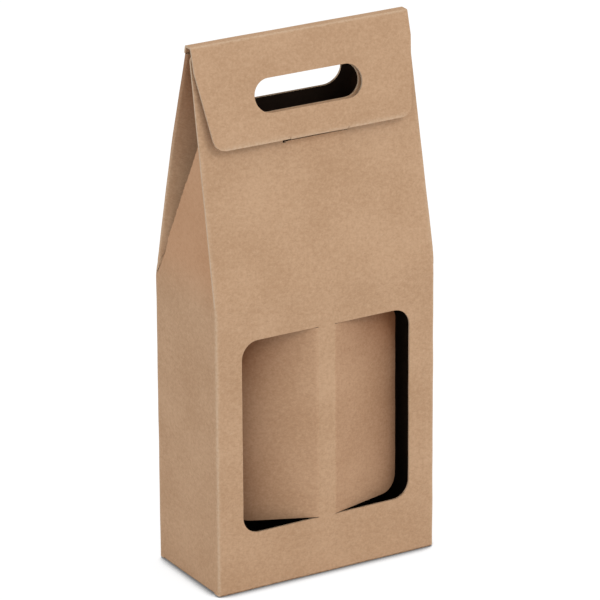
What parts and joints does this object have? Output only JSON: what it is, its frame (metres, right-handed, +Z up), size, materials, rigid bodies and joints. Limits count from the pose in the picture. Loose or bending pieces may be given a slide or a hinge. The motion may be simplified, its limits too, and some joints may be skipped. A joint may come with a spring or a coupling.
{
  "type": "wine gift box",
  "caption": "Upright kraft board wine carrier: gable top with a fold-over closure and hand slot, front window with push-in bottle dividers, tucked side gussets and a snap-lock base.",
  "frame": {"origin": "middle of the base, on the surface that the carrier stands on", "axes": "+Z up to the ridge, +X to the right as seen from the windowed front, +Y to the back"},
  "size_m": [0.18, 0.087, 0.4],
  "materials": {
    "kraft_board": "matte unprinted kraft liner on fine-flute corrugated board"
  },
  "bodies": {
    "sleeve": {"front_wall": "kraft_board", "back_wall": "kraft_board", "left_wall": "kraft_board", "right_wall": "kraft_board", "glue_flap": "kraft_board", "base_front_flap": "kraft_board", "base_rear_flap": "kraft_board", "base_left_flap": "kraft_board", "base_right_flap": "kraft_board"},
    "front_slope": {"front_slope": "kraft_board"},
    "rear_slope": {"rear_slope": "kraft_board"},
    "left_gusset": {"left_gusset": "kraft_board"},
    "right_gusset": {"right_gusset": "kraft_board"},
    "ridge_strip": {"ridge_strip": "kraft_board"},
    "closure_flap": {"closure_flap": "kraft_board"},
    "lock_tab": {"lock_tab": "kraft_board"},
    "left_window_flap": {"left_window_flap": "kraft_board"},
    "right_window_flap": {"right_window_flap": "kraft_board"}
  },
  "joints": [
    {"name": "flap_lift", "type": "hinge", "parent": "ridge_strip", "child": "closure_flap", "pos_m": [0, -0.0094, 0.4], "axis": [-1, 0, 0], "range_deg": [0, 74.6]},
    {"name": "ridge_fold", "type": "hinge", "parent": "rear_slope", "child": "ridge_strip", "pos_m": [0, -0.0011, 0.4], "axis": [-1, 0, 0], "range_deg": [0, 76.2]},
    {"name": "rear_slope_fold", "type": "hinge", "parent": "sleeve", "child": "rear_slope", "pos_m": [0, 0.0435, 0.219], "axis": [-1, 0, 0], "range_deg": [0, 10]},
    {"name": "front_slope_fold", "type": "hinge", "parent": "sleeve", "child": "front_slope", "pos_m": [0, -0.0435, 0.219], "axis": [1, 0, 0], "range_deg": [0, 11.25]},
    {"name": "lock_tab_fold", "type": "hinge", "parent": "closure_flap", "child": "lock_tab", "pos_m": [0, -0.02958, 0.32714], "axis": [-1, 0, 0], "range_deg": [0, 74.6]},
    {"name": "left_window_flap_fold", "type": "hinge", "parent": "sleeve", "child": "left_window_flap", "pos_m": [-0.0075, -0.042, 0.117], "axis": [0, 0, -1], "range_deg": [-24, 66]},
    {"name": "right_window_flap_fold", "type": "hinge", "parent": "sleeve", "child": "right_window_flap", "pos_m": [0.0075, -0.042, 0.117], "axis": [0, 0, 1], "range_deg": [-15, 75]},
    {"name": "left_gusset_fold", "type": "hinge", "parent": "rear_slope", "child": "left_gusset", "pos_m": [-0.08878, 0.01988, 0.3069], "axis": [-0.0134, 0.2392, -0.9709], "range_deg": [-14, 35]},
    {"name": "right_gusset_fold", "type": "hinge", "parent": "rear_slope", "child": "right_gusset", "pos_m": [0.08878, 0.01988, 0.3069], "axis": [-0.0134, -0.2392, 0.9709], "range_deg": [-14, 35]}
  ],
  "couplings": [
    {"joint": "ridge_fold", "follows": "rear_slope_fold", "ratio": 7.61},
    {"joint": "flap_lift", "follows": "rear_slope_fold", "ratio": 7.45},
    {"joint": "lock_tab_fold", "follows": "rear_slope_fold", "ratio": 7.45},
    {"joint": "front_slope_fold", "follows": "rear_slope_fold", "ratio": 1.12}
  ]
}
